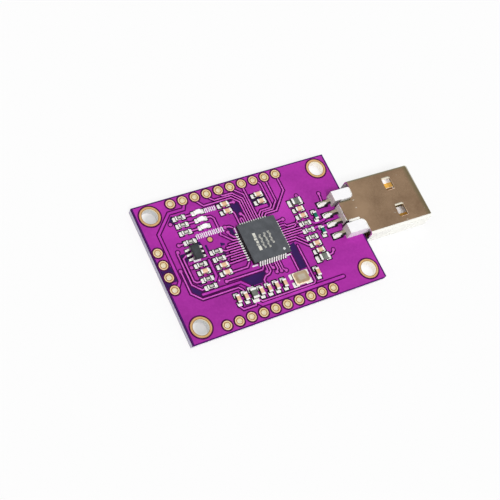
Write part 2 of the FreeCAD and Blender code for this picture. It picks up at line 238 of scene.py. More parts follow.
def board_finish():
    """Satin purple mask on the faces with a painted highlight near the middle, and pale woven laminate on the
    cut edges, painted lit white on the edge that faces -Y.
    """
    made = Finish("mask_laminate")
    fine = made.noise(2100.0)
    streaks = made.noise(420.0, 2.0, (0.06, 1.0, 1.0))
    mask = made.tones(made.noise(60.0, 2.0), (148, 30, 140), (184, 44, 174), 0.25, 0.75)
    mask = made.mix(made.levels(streaks, 0.45, 0.7, 0.0, 0.3), mask, (136, 18, 134))
    mask = made.mix(made.levels(fine, 0.4, 0.7, 0.0, 0.22), mask, (196, 58, 186))
    # painted highlight: the mask is brighter round a spot near the middle of the board
    mask = made.mix(made.around((7.0, 5.5, BOARD_TOP), 7.5, 1.5, 0.0, 0.45), mask, (214, 66, 202))
    layers = made.noise(900.0, 2.0, (0.25, 0.25, 9.0))
    cut = made.tones(layers, (166, 162, 182), (210, 206, 220), 0.35, 0.65)
    bright = made.tones(layers, (240, 240, 246), (254, 254, 255), 0.35, 0.65)
    near = made.levels(made.facing(Y), -0.4, -0.6)
    # painted light: the laminate on the edge that faces -Y is a lit white copy of the cut laminate
    rim = made.mix(near, cut, bright)
    rim = made.mix(made.along(Z, 1.12, 1.22), rim, (64, 14, 74))
    rim = made.mix(made.along(Z, 0.12, 0.04), rim, (64, 14, 74))
    rim = made.mix(made.times(near, made.along(Z, 0.45, 0.55)), rim, (84, 24, 104))
    flat = made.levels(made.square_to(Z), 0.4, 0.6)
    made.shade(
        Base_Color=made.mix(flat, rim, mask),
        Specular_IOR_Level=made.levels(flat, 0.0, 1.0, 0.0, 0.3),
    )
    made.roughness(made.noise(600.0), 0.36, 0.48)
    made.bump(fine, 0.25, 0.008)
    return made.material


def plated_gold_finish(name, wide_hole=False):
    """Warm flat rings, and a paler wall inside each hole as a painted reflection. A wide hole's wall has a
    painted pale reflection low down, and painted shade in the holes away from the plug.
    """
    made = Finish(name, 0.75)
    cloud = made.noise(900.0)
    ring = made.tones(cloud, (244, 188, 122), (255, 210, 150))
    # painted reflection: the wall is paler and brighter than the ring
    wall = made.tones(cloud, (255, 240, 200), (255, 252, 228))
    if wide_hole:
        # painted reflection low on a wide hole's wall, with painted shade on it in the holes away from the
        # plug
        pale = made.tones(cloud, (244, 238, 230), (254, 250, 245))
        grey = made.tones(cloud, (216, 217, 217), (232, 233, 233))
        pale = made.mix(made.along(X, 5.0, -5.0), pale, grey)
        wall = made.mix(made.along(Z, 1.4, 1.2), wall, pale)
    made.shade(Base_Color=made.mix(made.levels(made.square_to(Z), 0.7, 0.3), ring, wall))
    return made.surface(1900.0, 0.26, 0.44, 3800.0, 0.35, 0.006)


def lead_finish():
    """Matt tin that is bright on the feet, with painted shade making it duller up the bent part under the
    body.
    """
    made = Finish("tinned_lead", 0.6)
    cloud = made.noise(1500.0)
    bright = made.tones(cloud, (232, 230, 224), (252, 250, 246))
    dull = made.tones(cloud, (110, 108, 104), (150, 148, 142))
    # painted shade: the tin is darker up the bent part under the body
    made.shade(Base_Color=made.mix(made.along(Z, 2.0, 2.3), bright, dull))
    return made.surface(2600.0, 0.3, 0.46, 5200.0, 0.3, 0.006)


def end_cap_finish():
    """Plated end of a small part: bright on top, with painted shade down its sides, darkest on the end away
    from the plug.
    """
    made = Finish("end_cap", 0.05)
    cloud = made.noise(1500.0)
    top = made.tones(cloud, (250, 249, 243), (255, 255, 253))
    # painted shade on the sides, darkest on the side that faces away from the plug
    side = made.tones(cloud, (104, 94, 84), (140, 130, 118))
    side = made.mix(made.levels(made.facing(X), -0.5, -0.8), side, (26, 20, 18))
    made.shade(Base_Color=made.mix(made.levels(made.facing(Z), 0.35, 0.6), side, top))
    return made.surface(3400.0, 0.26, 0.4, 5200.0, 0.3, 0.006)


def clear_finish():
    """Milky clear resin over the bright base of a small lamp."""
    made = Finish(
        "clear_white", Coat_Weight=0.4, Coat_Roughness=0.08,
        Emission_Strength=0.16, Transmission_Weight=0.1,
    )
    made.shade(Base_Color=made.tones(made.noise(1300.0), (246, 250, 246), (255, 255, 254)))
    return made.surface(2100.0, 0.16, 0.28, 3800.0, 0.2, 0.008)


# middles of the two windows in the plug's roof, and of the contacts in front of the moulding
WINDOWS = ((30.1, 3.05), (29.98, -2.95))
CONTACT_ROWS = (3.8, 1.3, -0.7, -3.2)


def steel_finish():
    """Nickel-plated sheet: brown on top, paler sides as painted light, a painted highlight on the near side,
    olive painted shade along the far fold, and painted highlights by the windows.
    """
    made = Finish("plated_steel", 1.0)
    cloud = made.noise(150.0)
    grain = made.noise(2400.0)
    base = made.tones(cloud, (162, 132, 104), (196, 164, 132))
    base = made.mix(made.levels(grain, 0.4, 0.7, 0.0, 0.25), base, (206, 174, 144))
    nicks = made.node("TexVoronoi", Scale=1100.0, Vector=made.stretched((0.4, 1.0, 1.0)))
    spot = made.levels(nicks.outputs["Distance"], 0.08, 0.2, 1.0, 0.0)
    rare = made.levels(made.noise(620.0, 2.0), 0.57, 0.61)
    base = made.mix(made.times(spot, rare), base, (255, 248, 232))
    # painted light: sides and rounded edges are paler than the top
    base = made.mix(made.levels(made.square_to(Z), 0.75, 0.25), base, (236, 234, 226))
    across = made.facing(Y)
    # painted shade: olive along the far fold, on faces that look up and to +Y
    fold = made.times(made.levels(across, 0.06, 0.3), made.levels(made.facing(Z), 0.1, 0.4))
    base = made.mix(fold, base, (126, 118, 92))
    base = made.mix(made.along(X, 34.6, 35.5, 0.0, 0.75), base, (136, 128, 96))
    base = made.mix(made.along(X, 35.78, 35.86), base, (232, 228, 214))
    # painted highlight: a cream band beside each window in the roof
    for x, y in WINDOWS:
        rim = made.times(made.along(Y, y + 1.34, y + 1.38), made.along(Y, y + 1.54, y + 1.46))
        base = made.mix(made.times(rim, made.beside(X, x, 0.95, 0.8)), base, (255, 250, 230))
    # painted highlight: faces that look to -Y turn near-white and lose most of their metal
    shine = made.levels(across, -0.1, -0.3)
    made.shade(
        Base_Color=made.mix(shine, base, (246, 245, 238)),
        Metallic=made.levels(shine, 0.0, 1.0, 1.0, 0.1),
    )
    made.roughness(cloud, 0.22, 0.34)
    made.bump(grain, made.levels(shine, 0.0, 1.0, 0.3, 0.02), 0.006)
    return made.material


def moulding_finish():
    """Satin grey top of a moulded chip, with painted shade making its side walls near-black."""
    made = Finish("black_moulding")
    cloud = made.noise(700.0)
    face = made.tones(cloud, (74, 77, 81), (90, 93, 98))
    wall = made.tones(cloud, (6, 6, 7), (14, 14, 16))
    # painted shade: the side walls are a near-black copy of the moulding
    made.shade(Base_Color=made.mix(made.levels(made.square_to(Z), 0.5, 0.8), wall, face))
    return made.surface(1600.0, 0.5, 0.66, 4200.0, 0.35, 0.02)


def contact_finish():
    """Tinned foot, a dull neck in front of the moulding with painted shade on its near side, and gold inside
    the plug with painted shade on the middle contacts and a painted glow.
    """
    made = Finish("gold_contact", 0.25)
    cloud = made.noise(500.0)
    gold = made.tones(cloud, (252, 192, 82), (255, 206, 108))
    tin = made.tones(cloud, (240, 234, 218), (252, 248, 238))
    dull = made.tones(cloud, (150, 142, 118), (196, 188, 164))
    # painted shade on the neck's faces that look to -Y, and on the near half of each neck
    dull = made.mix(made.levels(made.facing(Y), -0.3, -0.6), dull, (22, 14, 20))
    for row in CONTACT_ROWS:
        shaded_near_half = made.times(made.along(Y, row - 0.02, row - 0.1), made.along(Y, row - 0.7, row - 0.62))
        dull = made.mix(shaded_near_half, dull, (40, 26, 36))
    tone = made.mix(made.along(X, 15.75, 15.9), tin, dull)
    tone = made.mix(made.along(X, 17.8, 18.2), tone, gold)
    shaded = made.times(made.beside(Y, 0.0, 2.0, 1.8), made.along(X, 32.4, 32.0), made.along(X, 24.0, 26.0))
    tone = made.mix(shaded, tone, (104, 92, 60))
    made.shade(Base_Color=tone)
    # painted glow inside the plug
    made.inner_glow(tone)
    return made.surface(1100.0, 0.2, 0.34, 3600.0, 0.2, 0.004)


def housing_finish():
    """White moulding, beige at its rear as painted shade, with shaded slots beside the neck, a painted gold
    reflection inside and a painted glow inside the plug.
    """
    made = Finish("white_moulding")
    cloud = made.noise(420.0)
    face = made.tones(cloud, (248, 247, 249), (255, 254, 255))
    rear = made.tones(cloud, (204, 196, 190), (222, 214, 208))
    # painted shade: faces that look to -X are a darker beige copy of the moulding
    face = made.mix(made.levels(made.facing(X), -0.5, -0.8), face, rear)
    slot = made.times(
        made.beside(Y, 0.3, 1.86, 1.92), made.beside(Y, 0.3, 2.54, 2.48), made.along(X, 18.7, 18.4),
    )
    face = made.mix(made.times(slot, made.along(Y, 2.42, 2.5)), face, (150, 140, 142))
    face = made.mix(made.times(slot, made.along(Y, 2.5, 2.42)), face, (16, 14, 12))
    # painted reflection of the gold contact on the moulding below the far window
    gold_reflection = made.times(
        made.along(Y, 2.98, 2.9), made.along(Y, 2.2, 2.3),
        made.along(X, 32.4, 32.0), made.along(X, 28.0, 28.4),
    )
    face = made.mix(gold_reflection, face, (150, 112, 66))
    made.shade(Base_Color=face)
    # painted glow inside the plug
    made.inner_glow(face)
    return made.surface(900.0, 0.35, 0.5, 3200.0, 0.35, 0.01)


def cover_finish():
    """Warm metal lid, paler in the middle of its sunk panel."""
    made = Finish("crystal_cover", 1.0)
    cloud = made.noise(900.0)
    edge = made.tones(cloud, (214, 184, 146), (236, 208, 172))
    panel = made.tones(cloud, (232, 216, 192), (248, 236, 216))
    inside = made.times(
        made.along(X, 3.05, 3.45), made.along(X, 4.95, 4.55),
        made.along(Y, -9.6, -9.3), made.along(Y, -8.2, -8.5),
    )
    made.shade(Base_Color=made.mix(inside, edge, panel))
    return made.surface(1900.0, 0.28, 0.42, 4200.0, 0.35, 0.008)


FINISHES = {
    "mask_laminate": board_finish(),
    "gold_plating": plated_gold_finish("gold_plating"),
    "wide_hole_plating": plated_gold_finish("wide_hole_plating", True),
    "tinned_lead": lead_finish(),
    "clear_white": clear_finish(),
    "end_cap": end_cap_finish(),
    "plated_steel": steel_finish(),
    "black_moulding": moulding_finish(),
    "gold_contact": contact_finish(),
    "white_moulding": housing_finish(),
    "crystal_cover": cover_finish(),
}

# name, darker and lighter colour, mottle scale, roughness range, grain scale, bump depth, metallic
MOTTLED = (
    ("bare_mask", (44, 22, 76), (62, 30, 96), 300.0, 0.36, 0.48, 2400.0, 0.008, 0.0),
    ("memory_moulding", (44, 48, 50), (66, 70, 72), 700.0, 0.5, 0.66, 4200.0, 0.02, 0.0),
    ("rim_mask", (62, 16, 88), (80, 26, 104), 700.0, 0.36, 0.48, 2400.0, 0.008, 0.0),
    ("mask_edge", (64, 0, 66), (86, 4, 84), 900.0, 0.4, 0.5, 2600.0, 0.006, 0.0),
    ("pad_opening", (22, 8, 30), (40, 12, 46), 900.0, 0.4, 0.5, 2600.0, 0.006, 0.0),
    ("via_mask", (184, 64, 170), (206, 88, 192), 700.0, 0.34, 0.44, 2600.0, 0.006, 0.0),
    ("ring_shade", (118, 78, 36), (150, 106, 56), 900.0, 0.3, 0.45, 2600.0, 0.004, 0.3),
    ("ring_glint", (254, 226, 172), (255, 238, 200), 900.0, 0.25, 0.4, 2600.0, 0.004, 0.2),
    ("ring_moat", (66, 6, 52), (88, 16, 66), 900.0, 0.4, 0.5, 2600.0, 0.004, 0.0),
    ("masked_copper", (200, 76, 188), (226, 108, 212), 700.0, 0.34, 0.44, 2600.0, 0.006, 0.0),
    ("wide_copper", (176, 42, 168), (196, 62, 188), 500.0, 0.36, 0.46, 2400.0, 0.006, 0.0),
    ("silk_ink", (240, 232, 244), (253, 250, 254), 1600.0, 0.6, 0.75, 5200.0, 0.01, 0.0),
    ("dark_ceramic", (44, 46, 44), (80, 82, 78), 1500.0, 0.3, 0.5, 5200.0, 0.01, 0.0),
    ("white_ceramic", (226, 226, 220), (246, 246, 240), 1300.0, 0.5, 0.65, 5200.0, 0.01, 0.0),
    ("tan_ceramic", (216, 168, 126), (244, 212, 180), 1200.0, 0.4, 0.55, 4600.0, 0.012, 0.0),
    ("grey_ceramic", (92, 98, 92), (132, 136, 128), 1100.0, 0.4, 0.6, 4600.0, 0.012, 0.0),
    ("base_ceramic", (244, 236, 218), (255, 250, 238), 1100.0, 0.4, 0.6, 4600.0, 0.012, 0.0),
    ("teal_ceramic", (0, 96, 80), (16, 132, 112), 1100.0, 0.3, 0.5, 4600.0, 0.01, 0.0),
    ("laser_mark", (192, 192, 182), (228, 226, 216), 1500.0, 0.7, 0.85, 5200.0, 0.01, 0.0),
    ("solder", (244, 242, 236), (255, 254, 251), 1100.0, 0.2, 0.34, 3000.0, 0.006, 0.12),
    ("wet_solder", (249, 248, 243), (255, 255, 252), 300.0, 0.16, 0.24, 900.0, 0.004, 0.15),
    # painted dark reflection on the solder of the plug's feet
    ("dark_reflection_line", (62, 52, 26), (96, 84, 48), 1200.0, 0.3, 0.5, 3000.0, 0.004, 0.0),
    # painted highlights and painted shade on the cut edge of the plug's windows
    ("rim_highlight", (246, 238, 214), (255, 250, 232), 900.0, 0.25, 0.4, 3000.0, 0.004, 0.2),
    ("rim_shade", (92, 78, 52), (120, 104, 76), 900.0, 0.3, 0.5, 3000.0, 0.004, 0.0),
    ("pink_rim", (196, 160, 134), (218, 186, 160), 900.0, 0.3, 0.5, 3000.0, 0.004, 0.0),
    ("dimple_mark", (206, 210, 208), (232, 236, 234), 1500.0, 0.5, 0.7, 4000.0, 0.004, 0.0),
)
for row in MOTTLED:
    FINISHES[row[0]] = mottled(*row)


# mesh tools

class Sculpt:
    """Collects faces for one piece and turns them into a named object."""

    def __init__(self, name, *finishes):
        self.name = name
        self.finishes = finishes
        self.bm = bmesh.new()

    def corners(self, points):
        return [self.bm.verts.new(Vector(point) * MM) for point in points]

    def face(self, corners, slot=0, smooth=False):
        made = self.bm.faces.new(corners)
        made.material_index = slot
        made.smooth = smooth
        return made

    def skin(self, rows, slot=0, smooth=True, ring=False):
        """A surface through rows of points, all of one length. Returns the corners of the last row."""
        grid = [self.corners(row) for row in rows]
        for low, high in zip(grid, grid[1:]):
            count = len(low)
            for i in range(count if ring else count - 1):
                j = (i + 1) % count
                self.face((low[i], low[j], high[j], high[i]), slot, smooth)
        return grid[-1]

    def brick(self, low, high, bevel, slot=0, segments=2):
        """A block with rounded edges."""
        corners = self.corners(
            (x, y, z) for z in (low[Z], high[Z]) for y in (low[Y], high[Y]) for x in (low[X], high[X])
        )
        sides = ((0, 2, 3, 1), (4, 5, 7, 6), (0, 1, 5, 4), (2, 6, 7, 3), (0, 4, 6, 2), (1, 3, 7, 5))
        faces = [self.face([corners[i] for i in side], slot, True) for side in sides]
        edges = list(dict.fromkeys(edge for face in faces for edge in face.edges))
        done = bmesh.ops.bevel(
            self.bm, geom=edges + corners, offset=bevel * MM, offset_type="OFFSET",
            segments=segments, profile=0.5, affect="EDGES",
        )
        for made in done["faces"]:
            made.material_index = slot
            made.smooth = True

    def sort_faces(self):
        """Orders the faces by their corners, because a bevel leaves them in another order each run."""
        self.bm.verts.index_update()
        ordered = sorted(self.bm.faces, key=lambda face: sorted(corner.index for corner in face.verts))
        rank = {face: place for place, face in enumerate(ordered)}
        self.bm.faces.sort(key=rank.get)

    def finish(self, slot, replaces=()):
        bmesh.ops.recalc_face_normals(self.bm, faces=self.bm.faces)
        self.sort_faces()
        mesh = bpy.data.meshes.new(self.name)
        self.bm.to_mesh(mesh)
        self.bm.free()
        for key in self.finishes:
            mesh.materials.append(FINISHES[key])
        made = bpy.data.objects.new(self.name, mesh)
        bpy.context.scene.collection.objects.link(made)
        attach(made, "root")
        if replaces:
            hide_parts(*replaces)


def swung(x, y, angle, along, across):
    """The point that lies along and across from x, y, both measured at an angle in radians."""
    cos, sin = math.cos(angle), math.sin(angle)
    return x + along * cos - across * sin, y + along * sin + across * cos


def rectangle(x0, x1, y0, y1):
    return [(x0, y0), (x1, y0), (x1, y1), (x0, y1)]


def circle(x, y, radius, count):
    turn = 2 * math.pi / count
    return [(x + radius * math.cos(turn * i), y + radius * math.sin(turn * i)) for i in range(count)]


def offset_line(points, side):
    """The line moved sideways, with mitred corners."""
    moved = []
    last = len(points) - 1
    for i, (x, y) in enumerate(points):
        before = points[max(i - 1, 0)]
        after = points[min(i + 1, last)]
        first = Vector((x - before[0], y - before[1])) if i else None
        second = Vector((after[0] - x, after[1] - y)) if i < last else None
        first = (first or second).normalized()
        second = (second or first).normalized()
        normal = Vector((-first.y - second.y, first.x + second.x))
        normal.normalize()
        stretch = max(0.5, normal.dot(Vector((-first.y, first.x))))
        moved.append((x + normal.x * side / stretch, y + normal.y * side / stretch))
    return moved


def strip_outline(points, width, round_ends):
    """Closed outline of a strip along the line."""
    half = width / 2
    left = offset_line(points, half)
    right = offset_line(points, -half)
    ends = []
    for at, toward in ((points[-1], points[-2]), (points[0], points[1])):
        direction = math.atan2(at[1] - toward[1], at[0] - toward[0])
        arc = []
        if round_ends:
            for step in range(1, 6):
                angle = direction + math.pi / 2 - math.pi * step / 6
                arc.append((at[0] + half * math.cos(angle), at[1] + half * math.sin(angle)))
        ends.append(arc)
    return left + ends[0] + list(reversed(right)) + ends[1]


def plateau(work, top_line, foot_line, low, high, slot=0):
    """A flat raised island with sloping sides."""
    rows = [[(x, y, z) for x, y in line] for line, z in ((foot_line, low), (top_line, high))]
    work.face(work.skin(rows, slot, False, True), slot)


def patch(work, outline, thick, slot=0):
    """A flat layer on the board."""
    plateau(work, outline, outline, BOARD_TOP, BOARD_TOP + thick, slot)


def strip(work, points, width, high, low=BOARD_TOP, slope=0.02, round_ends=True, slot=0):
    plateau(
        work, strip_outline(points, width, round_ends),
        strip_outline(points, width + 2 * slope, round_ends), low, high, slot,
    )


def island(work, x, y, radius, high, low=BOARD_TOP, slope=0.02, slot=0):
    plateau(work, circle(x, y, radius, 18), circle(x, y, radius + slope, 18), low, high, slot)


def annulus(work, x, y, inner, outer, low, high, count, slot=0):
    """A flat ring with sloping sides."""
    slope = 0.02
    lines = ((inner - slope, low), (inner, high), (outer, high), (outer + slope, low))
    work.skin([[(px, py, z) for px, py in circle(x, y, r, count)] for r, z in lines], slot, False, True)


# copper pattern seen through the mask

# heights over the board of its thin layers, each one clear of the next
ZONE, GAP, VIA_GAP, RING_GAP, PAD_GAP = 0.004, 0.008, 0.0085, 0.009, 0.0095
COPPER, PRINT = 0.03, 0.042

# half the board's length and half its width
BOARD_END, BOARD_SIDE = 21, 14
PITCH = 2.54
BACK_ROW = [(-2.07 + PITCH * (i - 4.5), 12.7) for i in range(10)]
FRONT_ROW = [(x, -y) for x, y in BACK_ROW]
SIDE_ROW = [(-19.8, 0.38 + PITCH * (i - 1.5)) for i in range(4)]
PINS = BACK_ROW + FRONT_ROW + SIDE_ROW
MOUNTS = [(sx * 18.2, sy * 11.43) for sx in (-1, 1) for sy in (-1, 1)]

# width of a signal track, and the radius at which a track ends in front of a ring
THIN = 0.22
RING = 0.9
TRACKS = [
    [(-8.45, 12), (-7.5, 10.5), (-1.6, 10.5), (-0.35, 9.3), (-0.35, 4.9)],
    [(-5.85, 11.9), (-5, 11), (-1.3, 11), (0.15, 9.5), (0.15, 4.9)],
    [(-3.35, 12), (-3, 11.4), (-1, 11.4), (0.65, 9.75), (0.65, 4.9)],
    [(-0.4, 12), (1.15, 10.5), (1.15, 4.9)],
    [(1.65, 12), (1.65, 4.9)],
    [(4.9, 12.3), (5.45, 11.6), (5.5, 6.8), (5, 6.3), (2.9, 6.3), (2.15, 5.6), (2.15, 4.9)],
    [(6.8, 12), (6.8, 7.4), (5.4, 5.9), (3.2, 5.9), (2.65, 5.3), (2.65, 4.9)],
    [(9.35, 12), (9.35, 9), (6, 5.45), (3.6, 5.45), (3.15, 5), (3.15, 4.9)],
    [(-2.6, 7.8), (-2.35, 7.3), (-2.35, 4.9)],
    [(-1.85, 4.9), (-1.85, 5.8), (-1.7, 6.0), (-1.5, 6.0), (-1.35, 5.8), (-1.35, 4.9)],
    [(-0.85, 4.9), (-0.85, 6.3), (-1.25, 6.85)],
    [(-2.4, 9.6), (-1.5, 9.6)],
    [(-11.8, 9.5), (-10.6, 9.5)],
    [(-11.8, 8), (-10.6, 8)],
    [(-11.8, 6.45), (-10.6, 6.45)],
    [(-8, 8.1), (-7.2, 8.1), (-6.7, 7.5), (-6.7, 4.6), (-6.9, 4.1), (-5.1, 2.25), (-4.1, 2.2)],
    [(-5.35, 4.1), (-5.2, 3.5), (-4.6, 2.75), (-4.1, 2.7)],
    [(-5.45, 5.2), (-4.6, 5.1), (-4.1, 4.7)],
    [(-17.25, -0.4), (-17.25, -5), (-15.6, -6.7), (-8.3, -6.7), (-7.6, -7.5)],
    [(-16.2, 3.2), (-16.4, 2.8), (-16.4, -3.5), (-15, -4.95), (-14.4, -4.95)],
    [(-15, 2.1), (-15.75, 1.7), (-15.75, -2.9), (-15.3, -3.4), (-14.4, -3.4)],
    [(-15.45, 4.4), (-14.5, 4.4)],
    [(-9.9, -4.9), (-2.3, -4.95), (-1.85, -4.5), (-1.85, -4.1)],
    [(-8, -3.55), (-4.8, -3.55), (-4.1, -2.8)],
    [(-9.6, -10.2), (-9.2, -10.9), (-6.6, -10.9), (-6.3, -10.4)],
    [(6.6, -2.6), (6.65, -10.2), (6.2, -10.65), (-5.1, -10.65), (-5.6, -10)],
    [(-1.35, -4.3), (-1.35, -5.2), (-1.65, -5.55)],
    [(-0.85, -4.3), (-0.85, -5.6), (-1.4, -6.1), (-2.3, -6.3), (-2.9, -6.9), (-2.95, -7.6)],
    [(-0.35, -4.3), (-0.35, -4.9), (-0.1, -5.2)],
    [(0.65, -4.3), (0.65, -5.7), (0.2, -6.2)],
    [(1.15, -4.3), (1.15, -6.3)],
    [(1.65, -4.3), (1.65, -6), (2.1, -6.5)],
    [(4.45, -4), (4.45, -7.3)],
    [(4.9, 3.2), (6.35, 3.3)],
    [(4.9, 2.2), (6.1, 2.2), (6.5, 1.75), (9, 1.75)],
    [(4.9, 1.2), (8, 1.2), (9, 2.2)],
    [(4.9, 0.7), (9, 0.7)],
    [(4.9, 0.2), (9, 0.2)],
    [(4.9, -0.3), (9, -0.3)],
    [(4.9, -0.8), (7.2, -0.8), (9, -2.5)],
    [(4.9, -1.3), (6.8, -1.3), (8.9, -3.3)],
    [(12, -6.3), (12.7, -6.2), (13.2, -5.6)],
    [(15.9, 4.5), (16.1, 6.2)],
    [(11.3, 6.6), (11.35, 7.1)],
]
TRACKS += [
    [(-6.2, 1.7), (-4.1, 1.7)], [(-6.9, 1.2), (-4.1, 1.2)], [(-8, 1.1), (-7.4, 0.7), (-4.1, 0.7)],
    [(-6.6, 0.2), (-4.1, 0.2)], [(-8, -0.4), (-7.4, -0.3), (-4.1, -0.3)], [(-6.9, -0.8), (-4.1, -0.8)],
    [(-7.2, -1.3), (-4.1, -1.3)], [(-8, -1.9), (-4.1, -1.8)],
]

WIDE = [
    (0.4, [(-11, 12), (-11.5, 11), (-14.6, 11), (-18.15, 7.5), (-18.15, -2.1), (-19, -3.1)]),
    (0.4, [(-15.2, -5.85), (-7.4, -5.85), (-6.1, -7.2)]),
    (0.4, [(-11.25, 0), (-11.25, -3.3), (-11.9, -4.1)]),
    (0.5, [(-6, -10.6), (-5.4, -11.2), (12.5, -11.2)]),
    (0.4, [(11.3, 1.2), (12.4, 0.6), (14.2, 0.7), (15.2, 1.1)]),
    (0.4, [(11.3, -0.4), (12.4, -0.2), (14.2, -0.5), (15.2, -0.9)]),
]
VIAS = [
    (-1.25, 6.85), (-1.5, 9.6), (-5.35, 4.1), (-5.45, 5.2), (-17.25, -0.4), (-16.2, 3.2), (-15.45, 4.4),
    (-9.9, -4.9), (-1.65, -5.55), (-0.1, -5.2), (6.35, 3.3), (16.1, 6.2), (11.35, 7.1), (13.2, -5.6),
    (-15, -0.35), (0.2, -6.2), (2.1, -6.5), (1.15, -6.3), (-15.2, 8.8),
]


def clear_of_holes(line):
    """The line with its ends drawn back to the rim of any ring that they run into."""
    kept = list(line)
    for end in (0, -1):
        for x, y in PINS:
            away = Vector((kept[end][0] - x, kept[end][1] - y))
            if away.length < RING:
                away *= RING / away.length
                kept[end] = (x + away.x, y + away.y)
    return kept


TRACKS = [clear_of_holes(line) for line in TRACKS]
WIDE = [(width, clear_of_holes(line)) for width, line in WIDE]

# outlines of the areas that have no copper under the mask
BARE = [
    [(-16.1, 2.6), (-15.1, 2.6), (-14.9, 1.4), (-15.4, 0.4), (-15.4, -2.6), (-14.9, -3.1), (-14.6, -4.4),
     (-16.1, -3.1)],
    [(-2.5, 10.1), (-1.7, 10.1), (-0.65, 9.1), (-0.65, 6.4), (-1.0, 6.4), (-1.2, 6.2), (-2.1, 6.2),
     (-2.1, 7.2), (-2.5, 7.7)],
    [(2.0, 10.2), (5.2, 10.2), (5.2, 6.7), (4.8, 6.6), (4.8, 7.3), (2.0, 7.3)],
    [(-7.5, -5.2), (-2.4, -5.2), (-1.9, -5.0), (-1.5, -5.9), (-2.4, -6.1), (-3.2, -6.9), (-3.3, -7.3),
     (-6.6, -7.3), (-7.4, -6.4)],
    [(4.7, -2.2), (6.2, -1.7), (6.35, -7.2), (4.8, -7.3)],
    [(-5.3, 4.95), (-4.6, 4.85), (-4.15, 4.3), (-4.1, 3.1), (-4.55, 3.1), (-4.95, 3.7), (-5.0, 4.3)],
    [(-15.6, 9.1), (-14.5, 10.3), (-14.2, 10.3), (-14.3, 8.6), (-14.9, 8.6)],
    [(-12.1, 4.1), (-11.3, 3.9), (-11.3, 3.2), (-12.0, 3.2)],
    [(-10.8, 3.0), (-10.4, 3.0), (-10.4, 1.7), (-10.8, 1.0)],
    [(-17.0, -0.8), (-16.65, -0.8), (-16.65, -3.6), (-15.1, -5.2), (-14.4, -5.25), (-14.4, -5.6),
     (-15.45, -5.6), (-15.5, -6.4), (-17.0, -4.9)],
    [(-8.2, 0.4), (-7.6, 0.4), (-7.6, -0.2), (-8.2, -0.2)],
    [(-7.7, 2.6), (-6.9, 2.2), (-7.0, 1.9), (-7.9, 1.9)],
]


def notched(x_far, x_near, low, high, radius):
    """Half of an area split along a row of holes, with a round notch at each hole."""
    side = 1 if x_far > x_near else -1
    outline = [(x_far, low), (x_near, low)]
    for _, y in SIDE_ROW:
        if y - radius < low or y + radius > high:
            continue
        for step in range(9):
            angle = math.pi * (step / 8 - 0.5)
            outline.append((x_near + side * radius * math.cos(angle), y + radius * math.sin(angle)))
    return outline + [(x_near, high), (x_far, high)]


BARE.append(notched(-20.75, -19.8, -2.7, 1.0, 0.7))
BARE.append(notched(-18.5, -19.8, -2.0, 1.0, 0.7))

zones = Sculpt("bare_mask_zones", "bare_mask", "rim_mask")
for outline in BARE:
    patch(zones, outline, ZONE)

# the darker rim of the mask along three of the board's edges
INNER_END = BOARD_END - 0.3
for sides in (
    (-BOARD_END, -INNER_END, -BOARD_SIDE, BOARD_SIDE), (INNER_END, BOARD_END, -BOARD_SIDE, BOARD_SIDE),
    (-INNER_END, INNER_END, BOARD_SIDE - 0.24, BOARD_SIDE),
):
    patch(zones, rectangle(*sides), ZONE, 1)
zones.finish("mask_laminate")

# dark gaps round the tracks, vias, pads and rings
gaps = Sculpt("track_gaps", "mask_edge")
for line in TRACKS:
    strip(gaps, line, THIN + 0.56, BOARD_TOP + GAP)
for width, line in WIDE:
    strip(gaps, line, width + 0.5, BOARD_TOP + GAP)
for x, y in VIAS:
    island(gaps, x, y, 0.52, BOARD_TOP + VIA_GAP)
for places, inner, outer, count in (
    (PINS, 0.93, 1.17, 36), (MOUNTS, 1.98, 2.28, 48), ([middle["test_pad"][:2]], 0.42, 0.66, 24),
):
    for x, y in places:
        annulus(gaps, x, y, inner, outer, BOARD_TOP, BOARD_TOP + RING_GAP, count)
gaps.finish("mask_laminate")

# where, corners of a circle, and for each edge its radii, foot and top over the rings' face, and finish
RING_EDGES = (
    (PINS, 24, (
        (0.53, 0.6, -0.004, 0.003, 0), (0.76, 0.84, -0.004, 0.003, 1), (0.89, 1.02, -0.01, 0.002, 2),
    )),
    (MOUNTS, 48, ((1.58, 1.64, -0.004, 0.003, 0), (2.0, 2.1, -0.01, 0.002, 2))),
)
shades = Sculpt("ring_edges", "ring_shade", "ring_glint", "ring_moat")
for places, count, edges in RING_EDGES:
    for x, y in places:
        for inner, outer, low, high, slot in edges:
            annulus(shades, x, y, inner, outer, SEAT + low, SEAT + high, count, slot)
shades.finish("gold_plating")

tracks = Sculpt("signal_tracks", "masked_copper")
for line in TRACKS:
    strip(tracks, line, THIN, BOARD_TOP + COPPER)
tracks.finish("mask_laminate")

feeds = Sculpt("supply_tracks", "wide_copper")
for width, line in WIDE:
    strip(feeds, line, width, BOARD_TOP + COPPER)
feeds.finish("mask_laminate")

# radius and height of each line round a via, from its foot to the dip in its middle
VIA_LINES = ((0.34, 0.0), (0.3, 0.034), (0.15, 0.034), (0.08, 0.012))
vias = Sculpt("tented_vias", "via_mask")
for x, y in VIAS:
    rows = [[(px, py, BOARD_TOP + z) for px, py in circle(x, y, r, 14)] for r, z in VIA_LINES]
    vias.face(vias.skin(rows, ring=True))
vias.finish("mask_laminate")

# printed marks, plain bars only

marks = Sculpt("printed_marks", "silk_ink")
BARS = [
    (0.16, [(-3.78, 4.55), (-3.78, 3.4)]),
    (0.26, [(-3.9, -3.78), (-2.75, -3.78)]),
    (0.26, [(3.5, -3.8), (4.5, -3.8)]),
    (0.42, [(-14.1, 0.65), (-12.7, 0.65)]),
    (0.3, [(-11.2, -4.3), (-11.1, -4.3)]),
]

